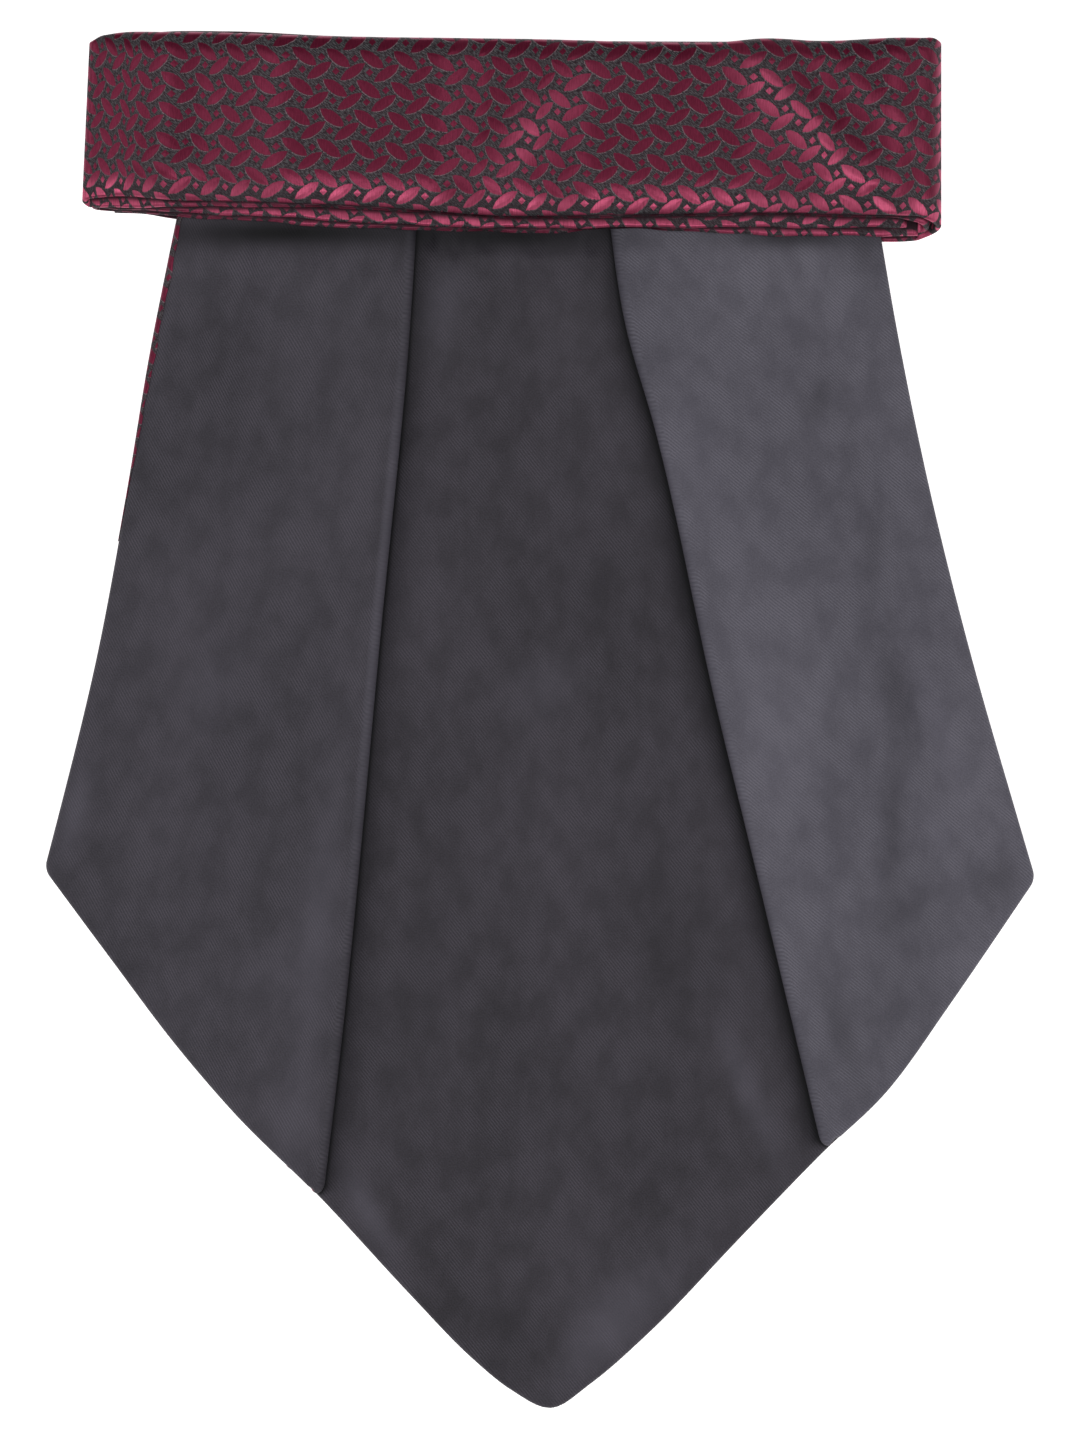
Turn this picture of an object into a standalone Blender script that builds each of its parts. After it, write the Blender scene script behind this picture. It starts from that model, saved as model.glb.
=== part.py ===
"""A silk cravat laid flat, lining side up, its neckband folded back and forth round the blade's top.

The frame is X across the blade, Y from the tip up to the neckband and Z up from the surface it lies on,
with the origin under the middle of the object's box. Lengths in the values and tables are millimetres,
and each finished point is turned into metres once, when its mesh is made.

The blade is one sheet with two pleats. Across the sheet, from left to right, it has nine stretches:
outer panel, visible fold, the hidden ply under it, hidden fold, centre panel, and the same again in
mirror order. The lining and the face lie on the two sides of that sheet. The neckband is one ribbon that
turns back on itself, cut into one solid for each stretch that shows.
"""

import bpy
import numpy as np

METRES = 0.001

# Cloth
WALL = 1.0
SEAM_GAP = 0.3
PLY = 2.0 * WALL + SEAM_GAP
PLY_PITCH = 2.7
TURN_RADIUS = PLY_PITCH / 2.0
BAND_PITCH = WALL + SEAM_GAP
TINY = 1.0e-3

# Blade
BLADE_TOP = 84.0
BLADE_LIFT = WALL + SEAM_GAP
LIFT_ENDS = 0.09
LIFT_GONE = 0.17
PLEAT_AT_TOP = 16.9
PLEAT_AT_HEM = 1.2
SLOPE_RUN_AT_TOP = 16.0
SLOPE_RUN_AT_HEM = 26.0
SLOPE_FOOT_AT = 0.3
SLOPE_TOP_AT = 0.8
LEAST_FLAT = 3.0
TIP_X = 2.0

# Side edges of the blade: height up the blade, distance across
LEFT_EDGE = [(84.0, -55.6), (72.0, -58.1), (59.5, -60.6), (34.5, -64.8), (9.4, -69.5), (-15.7, -75.6),
             (-23.4, -77.6)]
RIGHT_EDGE = [(84.0, 52.0), (72.5, 53.9), (59.5, 56.2), (34.5, 61.4), (9.4, 67.7), (-15.7, 74.9),
              (-24.9, 77.6)]

# Visible fold edges of the two pleats: height up the blade, distance across
LEFT_FOLD = [(84.0, -18.9), (59.2, -20.5), (15.8, -24.7), (-51.7, -31.2), (-75.2, -34.0)]
RIGHT_FOLD = [(84.0, 10.3), (76.4, 11.1), (62.2, 13.3), (46.7, 17.7), (3.0, 27.4), (-24.3, 34.0),
              (-67.7, 44.3)]

# Hem: distance across, height up the blade
HEM = [(-77.6, -23.4), (-67.3, -37.3), (-57.9, -49.8), (-48.5, -60.8), (-34.0, -75.2), (-20.4, -89.9),
       (-11.0, -99.6), (-4.5, -104.9), (TIP_X, -107.7), (7.8, -104.0), (17.2, -95.8), (31.3, -81.1),
       (44.3, -67.7), (54.8, -57.5), (64.2, -44.5), (77.6, -24.9)]

SIDES = {
    "left": {"sign": -1.0, "edge": LEFT_EDGE, "fold": LEFT_FOLD},
    "right": {"sign": 1.0, "edge": RIGHT_EDGE, "fold": RIGHT_FOLD},
}

# Down the blade, as fractions of each column's length: close together where the top comes off the band
ROWS = np.array([0.0, 0.03, 0.06, 0.09, 0.11, 0.13, 0.15, 0.17, 0.24, 0.34, 0.46, 0.58, 0.70, 0.80, 0.90,
                 1.0])
OUTER_CELLS = 10
TURN_CELLS = 5
UNDER_CELLS = 2
CENTRE_CELLS = 12

# Neckband
BAND_LEFT = -71.7
BAND_RIGHT = 62.8
BAND_LEAN = 1.2
LEAN_FOOT = 80.0
LEAN_HEIGHT = 26.0
UNDER_LEFT = -66.6
INNER_TURN_INSET = 1.5
THIRD_RIGHT = 57.2
BAND_CROWN = 0.8
CROWN_FADE = 8.0
BAND_CLEAR = 0.5
STEP_CELLS = 5
UNDER_BAND_CELLS = 14
MIDDLE_ROWS = (0.33, 0.67)
SMALL_TURN_CELLS = 5
BIG_TURN_CELLS = 8

# How a band edge is rounded: distance in from the edge, share of the wall's thickness there
EDGE_ROUND = [(0.0, 0.35), (0.45, 0.80), (1.2, 1.0)]

# What the folded band lies on, from left to right: start across, end across, rise between them
BAND_STEPS = [
    (-66.0, -57.5, PLY + BAND_CLEAR),
    (-55.0, -39.0, 2.0 * PLY_PITCH),
    (-17.5, -8.0, -3.0),
    (-1.0, 8.5, 3.0),
    (30.4, 46.4, -2.0 * PLY_PITCH),
    (53.9, 59.6, -1.6),
]
BAND_BED = WALL + SEAM_GAP

# Lower edges of the band's stretches: distance across, height up the blade
TOP_LOW = [(-71.7, 81.4), (-66.6, 81.9), (-57.6, 81.3), (-45.4, 81.0), (-25.4, 80.2), (-7.2, 78.9),
           (12.7, 79.0), (39.0, 79.3), (56.4, 78.9), (62.8, 78.7)]
SECOND_LOW = [(-71.7, 80.2), (-45.4, 80.2), (-27.4, 79.8), (-14.1, 79.0), (-1.0, 78.4), (14.1, 78.6),
              (48.4, 78.7), (57.3, 78.2), (60.9, 77.4)]
THIRD_LOW = [(-70.0, 80.2), (-56.7, 79.4), (-41.5, 78.6), (-17.0, 77.2), (25.0, 77.0), (60.0, 77.0)]
FOURTH_LOW = [(-71.7, 80.0), (-56.7, 78.8), (-43.4, 77.9), (-31.5, 77.0), (-17.4, 76.6), (0.8, 76.2),
              (15.0, 76.8), (31.0, 75.9), (46.5, 75.7), (62.8, 75.8)]
UNDER_LOW = [(-66.6, 79.4), (-60.8, 79.1), (-56.7, 78.5), (-30.0, 77.6), (30.0, 75.6), (53.7, 74.9),
             (57.2, 74.9), (62.8, 75.6)]

# Upper edges: distance across, height up the blade
TOP_HIGH = [(-70.6, 106.8), (-68.5, 107.4), (-58.7, 107.6), (-36.0, 107.2), (0.0, 106.7), (34.5, 106.9),
            (43.1, 106.4), (59.8, 106.8), (62.8, 105.8)]
SECOND_HIGH = [(-71.0, 106.0), (-62.0, 107.5), (-50.0, 107.7), (-36.0, 107.0), (0.0, 106.2), (62.0, 106.0)]
INNER_HIGH = [(-71.0, 105.8), (62.8, 105.4)]

# Hidden layers inside the packet
CORE_LEFT = -55.0
CORE_RIGHT = 51.5
CORE_LOW = 85.0
CORE_HIGH = 104.5
CORE_END_INSET = 1.5
CORE_END_RUN = 4.0

# How the hidden layers are rounded: share of the way across them, share of their full height there
CORE_ROUND = [(0.0, 0.45), (0.06, 0.85), (0.15, 1.0), (0.5, 1.0), (0.85, 1.0), (0.94, 0.85), (1.0, 0.45)]

LINING = {"name": "lining_twill", "colour": (0.055, 0.052, 0.060), "roughness": 0.62}
JACQUARD = {"name": "jacquard_silk", "colour": (0.150, 0.022, 0.048), "roughness": 0.45}


def clear_scene():
    """Remove whatever objects the file starts with."""
    for thing in list(bpy.data.objects):
        bpy.data.objects.remove(thing)


def soft_step(t):
    """Rise from 0 to 1 with level ends: 3t^2 - 2t^3 between 0 and 1."""
    t = np.clip(t, 0.0, 1.0)
    return t * t * (3.0 - 2.0 * t)


def blend(a, b, t):
    """The straight mix of a and b: a at t = 0 and b at t = 1."""
    return a + (b - a) * t


def through(table, at):
    """Cubic curve through a table of (place, value), whose slope at a row comes from its neighbours."""
    rows = np.array(sorted(table))
    place, value = rows[:, 0], rows[:, 1]
    slope = np.gradient(value, place)
    k = np.clip(np.searchsorted(place, at) - 1, 0, len(place) - 2)
    width = place[k + 1] - place[k]
    t = (at - place[k]) / width
    start = value[k] * (1 + 2 * t) * (1 - t) ** 2 + width * slope[k] * t * (1 - t) ** 2
    end = value[k + 1] * t * t * (3 - 2 * t) + width * slope[k + 1] * t * t * (t - 1)
    return start + end


def band_bed(x):
    """Height of the underside of the band's lowest stretch, as the steps of what lies under it."""
    height = np.full_like(x, BAND_BED)
    for start, end, rise in BAND_STEPS:
        height = height + rise * soft_step((x - start) / (end - start))
    return height


def band_stations(left, right):
    """Places across the folded band between two ends: even cells in each step, and none between steps."""
    steps = [np.linspace(start, end, STEP_CELLS + 1) for start, end, _ in BAND_STEPS]
    inner = np.concatenate(steps)
    inner = inner[(inner > left + SEAM_GAP) & (inner < right - SEAM_GAP)]
    return np.concatenate([[left], inner, [right]])


def leaned(x, y):
    """How far across a point of the packet is, when its left end leans to the right towards the top."""
    share_left = (BAND_RIGHT - x) / (BAND_RIGHT - BAND_LEFT)
    return x + BAND_LEAN * share_left * (y - LEAN_FOOT) / LEAN_HEIGHT


def up_the_fold(side, y):
    """How far up its fold a height is: 0 at the hem and 1 at the blade's top."""
    foot = min(side["fold"])[0]
    return (y - foot) / (BLADE_TOP - foot)


def turn_centres(side, y):
    """Where the centres of a pleat's two turns are across, at height y: the visible one, the hidden one."""
    reach = TURN_RADIUS + PLY / 2.0
    visible = through(side["fold"], y) + side["sign"] * reach
    depth = blend(PLEAT_AT_HEM, PLEAT_AT_TOP, up_the_fold(side, y))
    return visible, visible + side["sign"] * depth


def lift(v):
    """Height of the sheet's lowest side: up on the band's under stretch at the top, then on the floor."""
    return BLADE_LIFT * (1.0 - soft_step((v - LIFT_ENDS) / (LIFT_GONE - LIFT_ENDS)))


def pleat_point(side, stretch, t, v):
    """A point of a pleat. t runs from the visible side of the stretch to its hidden side, v down the fold.

    A turn is half a circle in the plane across the fold, and the hidden ply is straight. Towards the hem,
    the row leaves the level and follows the hem's slope, so that all plies end on the same line.
    """
    sign = side["sign"]
    fold_y = blend(BLADE_TOP, min(side["fold"])[0], v)
    angle = np.pi * t
    height = PLY / 2.0 + lift(v)

    def across(y):
        visible, hidden = turn_centres(side, y)
        if stretch == "visible turn":
            return visible - sign * TURN_RADIUS * np.sin(angle)
        if stretch == "hidden turn":
            return hidden + sign * TURN_RADIUS * np.sin(angle)
        return blend(visible, hidden, t)

    drop = through(HEM, across(fold_y)) - through(HEM, through(side["fold"], fold_y))
    y = fold_y + drop * v ** 4
    if stretch == "visible turn":
        z = height + 1.5 * PLY_PITCH + TURN_RADIUS * np.cos(angle)
    elif stretch == "hidden turn":
        z = height + 0.5 * PLY_PITCH + TURN_RADIUS * np.cos(angle)
    else:
        z = height + PLY_PITCH
    return across(y), y, z


def slope_spread(side, edge, end, end_y, t):
    """Places across an outer panel: t is shared out between its flat part, its slope and the pleat."""
    sign = side["sign"]
    slope_top = turn_centres(side, end_y)[1]
    run = blend(SLOPE_RUN_AT_HEM, SLOPE_RUN_AT_TOP, up_the_fold(side, end_y))
    slope_foot = sign * np.minimum(sign * slope_top + run, sign * edge - LEAST_FLAT)
    flat = blend(edge, slope_foot, t / SLOPE_FOOT_AT)
    slope = blend(slope_foot, slope_top, (t - SLOPE_FOOT_AT) / (SLOPE_TOP_AT - SLOPE_FOOT_AT))
    pleat = blend(slope_top, end, (t - SLOPE_TOP_AT) / (1.0 - SLOPE_TOP_AT))
    return np.where(t < SLOPE_FOOT_AT, flat, np.where(t < SLOPE_TOP_AT, slope, pleat))


def outer_point(side, t, v):
    """A point of an outer panel: t runs from its side edge to the visible turn.

    The panel is flat on the pleat, comes down in a soft step beside it and is flat on the floor.
    """
    foot = min(side["edge"])
    edge_y = blend(BLADE_TOP, foot[0], v)
    edge_x = through(side["edge"], edge_y)
    end_x, end_y, _ = pleat_point(side, "visible turn", np.zeros_like(t), v)
    hem_end_x, hem_end_y, _ = pleat_point(side, "visible turn", np.zeros_like(t), np.ones_like(v))
    x = slope_spread(side, edge_x, end_x, end_y, t)
    hem_x = slope_spread(side, foot[1], hem_end_x, hem_end_y, t)
    hem_share = (hem_x - foot[1]) / (hem_end_x - foot[1])
    bulge = through(HEM, hem_x) - blend(foot[0], hem_end_y, hem_share)
    y = blend(edge_y, end_y, hem_share) + bulge * v
    run = blend(SLOPE_RUN_AT_HEM, SLOPE_RUN_AT_TOP, up_the_fold(side, y))
    beyond = side["sign"] * (x - turn_centres(side, y)[1])
    return x, y, PLY / 2.0 + lift(v) + 2.0 * PLY_PITCH * soft_step(1.0 - beyond / run)


def centre_point(t, v):
    """A point of the centre panel: t runs from the left pleat's hidden turn to the right pleat's."""
    left, right = [pleat_point(side, "hidden turn", np.ones_like(t), v) for side in SIDES.values()]
    hem_left, hem_right = [pleat_point(side, "hidden turn", np.ones_like(t), np.ones_like(v))
                           for side in SIDES.values()]
    x = blend(left[0], right[0], t)
    bulge = through(HEM, blend(hem_left[0], hem_right[0], t)) - blend(hem_left[1], hem_right[1], t)
    y = blend(left[1], right[1], t) + bulge * v
    return x, y, PLY / 2.0 + lift(v)


def centre_fractions():
    """Places across the centre panel, with one column that ends at the tip."""
    one = np.ones((1, 1))
    left, right = [pleat_point(side, "hidden turn", one, one)[0][0, 0] for side in SIDES.values()]
    tip = (TIP_X - left) / (right - left)
    half = CENTRE_CELLS // 2
    return np.concatenate([np.linspace(0.0, tip, half + 1), np.linspace(tip, 1.0, half + 1)[1:]])


def blade_stretches():
    """The sheet's nine stretches from left to right: the function of a point and the places across."""
    outer = np.linspace(0.0, 1.0, OUTER_CELLS + 1)
    turn = np.linspace(0.0, 1.0, TURN_CELLS + 1)
    under = np.linspace(0.0, 1.0, UNDER_CELLS + 1)

    def pleat(name, stretch, backwards):
        if backwards:
            return lambda t, v: pleat_point(SIDES[name], stretch, 1.0 - t, v)
        return lambda t, v: pleat_point(SIDES[name], stretch, t, v)

    return [
        (lambda t, v: outer_point(SIDES["left"], t, v), outer),
        (pleat("left", "visible turn", False), turn),
        (pleat("left", "hidden ply", False), under),
        (pleat("left", "hidden turn", False), turn),
        (centre_point, centre_fractions()),
        (pleat("right", "hidden turn", True), turn),
        (pleat("right", "hidden ply", True), under),
        (pleat("right", "visible turn", True), turn),
        (lambda t, v: outer_point(SIDES["right"], 1.0 - t, v), outer),
    ]


def stacked(point, t, v):
    """A stretch's points as one array with X, Y and Z last."""
    return np.stack(np.broadcast_arrays(*point(t, v)), axis=-1)


def unit(vectors):
    """Vectors scaled to length 1."""
    return vectors / np.linalg.norm(vectors, axis=-1, keepdims=True)


def sheet_grid(stretches, rows):
    """Points and normals of a sheet: each stretch's grid, joined side by side.

    The normal is the cross product of the direction down the sheet and the direction across it, both
    taken from points a tiny step away. Where two stretches meet, the column is kept once.
    """
    v = rows[:, None]
    points = []
    normals = []
    for number, (point, places) in enumerate(stretches):
        t = places[None, :] if number == 0 else places[None, 1:]
        down = (stacked(point, t, np.minimum(v + TINY, 1.0)) - stacked(point, t, np.maximum(v - TINY, 0.0)))
        across = stacked(point, t + TINY, v) - stacked(point, t - TINY, v)
        points.append(stacked(point, t, v))
        normals.append(unit(np.cross(down, across)))
    return np.concatenate(points, axis=1), np.concatenate(normals, axis=1)


def material(look):
    """A plain Principled material in the cloth's colour."""
    made = bpy.data.materials.new(look["name"])
    made.use_nodes = True
    shader = made.node_tree.nodes["Principled BSDF"]
    shader.inputs["Base Color"].default_value = (*look["colour"], 1.0)
    shader.inputs["Roughness"].default_value = look["roughness"]
    shader.inputs["Metallic"].default_value = 0.0
    return made


def closed_wall(name, lower, upper, cloth):
    """A closed wall between two grids of points, with a rim all round."""
    rows, columns = upper.shape[:2]
    count = rows * columns
    number = np.arange(count).reshape(rows, columns)
    first, second, third, fourth = number[:-1, :-1], number[1:, :-1], number[1:, 1:], number[:-1, 1:]
    over = np.stack([first, second, third, fourth], axis=-1).reshape(-1, 4)
    under = over[:, ::-1] + count
    ring = np.concatenate([number[:-1, 0], number[-1, :-1], number[:0:-1, -1], number[0, :0:-1]])
    after = np.roll(ring, -1)
    rim = np.stack([ring, ring + count, after + count, after], axis=-1)
    mesh = bpy.data.meshes.new(name)
    corners = np.concatenate([upper.reshape(-1, 3), lower.reshape(-1, 3)]) * METRES
    mesh.from_pydata(corners.tolist(), [], np.concatenate([over, under, rim]).tolist())
    mesh.materials.append(material(cloth))
    mesh.shade_smooth()
    mesh.set_sharp_from_angle(angle=np.radians(50.0))
    made = bpy.data.objects.new(name, mesh)
    bpy.context.collection.objects.link(made)
    return made


def make_blade():
    """The lining on the sheet's upper side and the face on its lower side, with the seam gap between."""
    points, normals = sheet_grid(blade_stretches(), ROWS)
    near = SEAM_GAP / 2.0
    far = near + WALL
    closed_wall("blade_lining", points + near * normals, points + far * normals, LINING)
    closed_wall("blade_face", points - far * normals, points - near * normals, JACQUARD)


def flat_path(left, right, level):
    """A stretch of ribbon from left to right, level times the band's pitch above what it lies on."""
    stations = band_stations(left, right)
    shares = (stations - left) / (right - left)

    def path(t):
        x = blend(left, right, t)
        return x, stretch_height(x, level)
    return path, shares


def stretch_height(x, level):
    """Height of the middle of a stretch's wall, level pitches above what the band lies on."""
    return band_bed(np.array(x)) + level * BAND_PITCH + WALL / 2.0


def turn_path(x, low, high, sign, downwards):
    """Half a circle between two heights of the ribbon, bulging to the left (-1) or the right (+1)."""
    radius = (high - low) / 2.0

    cells = BIG_TURN_CELLS if radius > BAND_PITCH / 2.0 + TINY else SMALL_TURN_CELLS

    def path(t):
        angle = np.pi * (t if downwards else 1.0 - t)
        return x + sign * radius * np.sin(angle), (low + high) / 2.0 + radius * np.cos(angle)
    return path, np.linspace(0.0, 1.0, cells + 1)


def edge_rows(low, high):
    """Heights up the blade across a ribbon, from its upper edge down, and how thick it is at each."""
    upper = [high - inset for inset, _ in EDGE_ROUND]
    middle = [blend(high, low, share) for share in MIDDLE_ROWS]
    lower = [low + inset for inset, _ in reversed(EDGE_ROUND)]
    shares = [share for _, share in EDGE_ROUND]
    thick = shares + [1.0] * len(MIDDLE_ROWS) + shares[::-1]
    return np.stack(upper + middle + lower), np.array(thick)[:, None, None]


def ribbon(name, parts, low, high, crown=0.0):
    """A stretch of the neckband: a path in X and Z, widened along Y between its lower and upper edge.

    parts is a list of ((path, places along it), lower edge at its start, lower edge at its end), where None
    reads the lower edge from the table low.
    The wall thins towards its long edges, so that they are round, and a crown lifts its middle.
    """
    xs, zs, normals, lows = [], [], [], []
    for number, ((path, places), low_start, low_end) in enumerate(parts):
        t = places if number == 0 else places[1:]
        x, z = path(t)
        ahead, behind = path(t + TINY), path(t - TINY)
        run, rise = ahead[0] - behind[0], ahead[1] - behind[1]
        length = np.hypot(run, rise)
        xs.append(x)
        zs.append(z)
        normals.append(np.stack([-rise / length, np.zeros_like(x), run / length], axis=-1))
        lows.append(through(low, x) if low_start is None else blend(low_start, low_end, t))
    x, z, lows = np.concatenate(xs), np.concatenate(zs), np.concatenate(lows)
    normal = np.concatenate(normals)[None, :, :]
    y, thick = edge_rows(lows, through(high, x))
    fraction = (y - y[-1]) / (y[0] - y[-1])
    middle = np.stack([leaned(x, y), y, np.broadcast_to(z, y.shape)], axis=-1)
    from_end = np.minimum(x - BAND_LEFT, BAND_RIGHT - x) / CROWN_FADE
    lifted = crown * soft_step(from_end) * (1.0 - np.abs(2.0 * fraction - 1.0) ** 3)
    half = thick * WALL / 2.0
    return closed_wall(name, middle - half * normal, middle + (half + lifted[..., None]) * normal, JACQUARD)


def make_band():
    """The neckband's five stretches, from the top one down, with the turns that join them."""
    fourth, third, second, top = range(4)
    floor_height = WALL / 2.0
    left_turn = BAND_LEFT + BAND_PITCH / 2.0 + WALL / 2.0
    inner_left_turn = left_turn + INNER_TURN_INSET
    big_turn = (stretch_height(BAND_RIGHT, top) - floor_height) / 2.0
    right_turn = BAND_RIGHT - big_turn - WALL / 2.0
    eye_end = right_turn + BAND_PITCH

    ribbon("band_top", [
        (turn_path(left_turn, stretch_height(left_turn, second), stretch_height(left_turn, top), -1, False),
         through(SECOND_LOW, left_turn), through(TOP_LOW, left_turn)),
        (flat_path(left_turn, right_turn, top), None, None),
        (turn_path(right_turn, floor_height, stretch_height(right_turn, top), 1, True),
         through(TOP_LOW, right_turn), through(UNDER_LOW, right_turn)),
    ], TOP_LOW, TOP_HIGH, BAND_CROWN)

    ribbon("band_second", [
        (flat_path(left_turn + SEAM_GAP, right_turn, second), None, None),
        (turn_path(right_turn, stretch_height(right_turn, fourth),
                   stretch_height(right_turn, second), 1, True),
         through(SECOND_LOW, right_turn), through(FOURTH_LOW, eye_end)),
    ], SECOND_LOW, SECOND_HIGH)

    ribbon("band_third", [
        (turn_path(inner_left_turn, stretch_height(inner_left_turn, fourth),
                   stretch_height(inner_left_turn, third), -1, False),
         through(FOURTH_LOW, inner_left_turn), through(THIRD_LOW, inner_left_turn)),
        (flat_path(inner_left_turn, THIRD_RIGHT, third), None, None),
    ], THIRD_LOW, INNER_HIGH)

    ribbon("band_fourth", [
        (flat_path(inner_left_turn + SEAM_GAP, right_turn - SEAM_GAP, fourth), None, None),
    ], FOURTH_LOW, INNER_HIGH)

    def floor_path(t):
        x = blend(UNDER_LEFT, right_turn - SEAM_GAP, t)
        return x, np.full_like(x, floor_height)

    under_places = np.linspace(0.0, 1.0, UNDER_BAND_CELLS + 1)
    ribbon("band_under", [((floor_path, under_places), None, None)], UNDER_LOW, INNER_HIGH)


def make_core():
    """The hidden layers inside the packet: from the band's under stretch up to its fourth, rounded."""
    x = band_stations(CORE_LEFT, CORE_RIGHT)[None, :]
    share, full = np.array(CORE_ROUND).T[:, :, None]
    y = np.broadcast_to(blend(CORE_HIGH, CORE_LOW, share), (len(CORE_ROUND), x.shape[1]))
    from_end = np.minimum(x - CORE_LEFT, CORE_RIGHT - x) + CORE_END_INSET
    bottom = np.full_like(y, BAND_BED)
    top = bottom + (band_bed(x) - SEAM_GAP - BAND_BED) * full * soft_step(from_end / CORE_END_RUN)
    across = leaned(x, y)
    closed_wall("band_core", np.stack([across, y, bottom], axis=-1), np.stack([across, y, top], axis=-1),
                JACQUARD)


def main():
    clear_scene()
    make_blade()
    make_band()
    make_core()


main()
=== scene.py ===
"""The look of a silk cravat laid flat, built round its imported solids.

The frame is X across the blade, Y from the tip up to the neckband, Z up from the floor. Shapes are worked
out in millimetres and turned into metres when a mesh is made.
"""

import bpy
import numpy as np
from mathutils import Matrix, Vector


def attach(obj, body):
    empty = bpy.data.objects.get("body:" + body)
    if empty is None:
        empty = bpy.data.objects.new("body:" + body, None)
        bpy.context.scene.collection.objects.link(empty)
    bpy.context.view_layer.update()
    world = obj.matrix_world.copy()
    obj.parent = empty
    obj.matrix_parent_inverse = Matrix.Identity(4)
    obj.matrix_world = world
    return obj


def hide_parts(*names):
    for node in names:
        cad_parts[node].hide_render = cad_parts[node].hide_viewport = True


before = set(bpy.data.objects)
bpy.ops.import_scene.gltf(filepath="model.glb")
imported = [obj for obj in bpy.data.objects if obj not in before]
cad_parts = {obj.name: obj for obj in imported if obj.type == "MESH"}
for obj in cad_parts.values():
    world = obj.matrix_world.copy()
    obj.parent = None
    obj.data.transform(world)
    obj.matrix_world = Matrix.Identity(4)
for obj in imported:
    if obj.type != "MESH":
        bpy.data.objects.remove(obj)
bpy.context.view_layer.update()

METRES = 0.001
TINY = 1.0e-3
UV_PER_MM = 0.01

# Cloth
WALL = 1.0
SEAM_GAP = 0.3
PLY = 2.0 * WALL + SEAM_GAP
PLY_PITCH = 2.7
TURN_RADIUS = PLY_PITCH / 2.0
BAND_PITCH = WALL + SEAM_GAP
SHELL = 0.35
SILK = 0.25
EDGE_ROLL_REACH = 1.8
LEAST_HALF = 0.10
CORNER_RADIUS = 3.0
CREASE_CORNER = 0.2

# Blade
BLADE_TOP = 84.0
BLADE_LIFT = WALL + SEAM_GAP
LIFT_ENDS = 0.09
LIFT_GONE = 0.17
PLEAT_AT_TOP = 16.9
PLEAT_AT_HEM = 1.2
SLOPE_RUN_AT_TOP = 16.0
SLOPE_RUN_AT_HEM = 26.0
TIP_X = 2.0

# Side edges of the blade: height up the blade, distance across
LEFT_EDGE = [(84.0, -55.6), (72.0, -58.1), (59.5, -60.6), (34.5, -64.8), (9.4, -69.5), (-15.7, -75.6),
             (-23.4, -77.6)]
RIGHT_EDGE = [(84.0, 52.0), (72.5, 53.9), (59.5, 56.2), (34.5, 61.4), (9.4, 67.7), (-15.7, 74.9),
              (-24.9, 77.6)]

# Visible fold edges of the two pleats: height up the blade, distance across
LEFT_FOLD = [(84.0, -18.9), (59.2, -20.5), (15.8, -24.7), (-51.7, -31.2), (-75.2, -34.0)]
RIGHT_FOLD = [(84.0, 10.3), (76.4, 11.1), (62.2, 13.3), (46.7, 17.7), (3.0, 27.4), (-24.3, 34.0),
              (-67.7, 44.3)]

# Hem: distance across, height up the blade
HEM = [(-77.6, -23.4), (-67.3, -37.3), (-57.9, -49.8), (-48.5, -60.8), (-34.0, -75.2), (-20.4, -89.9),
       (-11.0, -99.6), (-4.5, -104.9), (TIP_X, -107.7), (7.8, -104.0), (17.2, -95.8), (31.3, -81.1),
       (44.3, -67.7), (54.8, -57.5), (64.2, -44.5), (77.6, -24.9)]

SIDES = {
    "left": {"sign": -1.0, "edge": LEFT_EDGE, "fold": LEFT_FOLD},
    "right": {"sign": 1.0, "edge": RIGHT_EDGE, "fold": RIGHT_FOLD},
}

# Neckband
BAND_LEFT = -71.7
BAND_RIGHT = 62.8
BAND_LEAN = 1.2
LEAN_FOOT = 80.0
LEAN_HEIGHT = 26.0
UNDER_LEFT = -66.6
INNER_TURN_INSET = 1.5
THIRD_RIGHT = 57.2
BAND_CLEAR = 0.5
CROWN = 1.5
CROWN_FADE = 8.0
LOW_ROLL = 6.0
LOW_ROLL_POWER = 1.6
HIGH_ROLL = 3.5
BAND_BED = WALL + SEAM_GAP
TOUCH = 0.05

# Soft patches of painted sheen on the band's silk: middle across and up, length, width, lean in degrees, tone
BAND_PAINTED_SHINE = [
    (41.5, 91.8, 34.0, 6.0, -46.0, 0.46),
    (50.0, 83.8, 13.0, 6.0, -32.0, 0.34),
    (34.0, 100.0, 8.0, 6.0, -50.0, 0.20),
    (52.5, 95.5, 24.0, 3.4, -45.0, 0.20),
    (-2.4, 93.0, 13.0, 6.0, 80.0, 0.36),
    (-1.0, 91.5, 26.0, 6.0, 45.0, 0.22),
    (62.4, 93.0, 60.0, 1.4, 90.0, 0.62),
    (-71.0, 93.0, 60.0, 1.3, 87.4, 0.42),
]
# Painted sheen along the lower edge of the band's top stretch: height above the edge, reach, strength
LOW_PAINTED_SHINE = (1.2, 1.6, 1.10)

# What the folded band lies on, from left to right: start across, end across, rise between them
BAND_STEPS = [
    (-66.0, -57.5, PLY + BAND_CLEAR),
    (-55.0, -39.0, 2.0 * PLY_PITCH),
    (-17.5, -8.0, -3.0),
    (-1.0, 8.5, 3.0),
    (30.4, 46.4, -2.0 * PLY_PITCH),
    (53.9, 59.6, -1.6),
]

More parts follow.
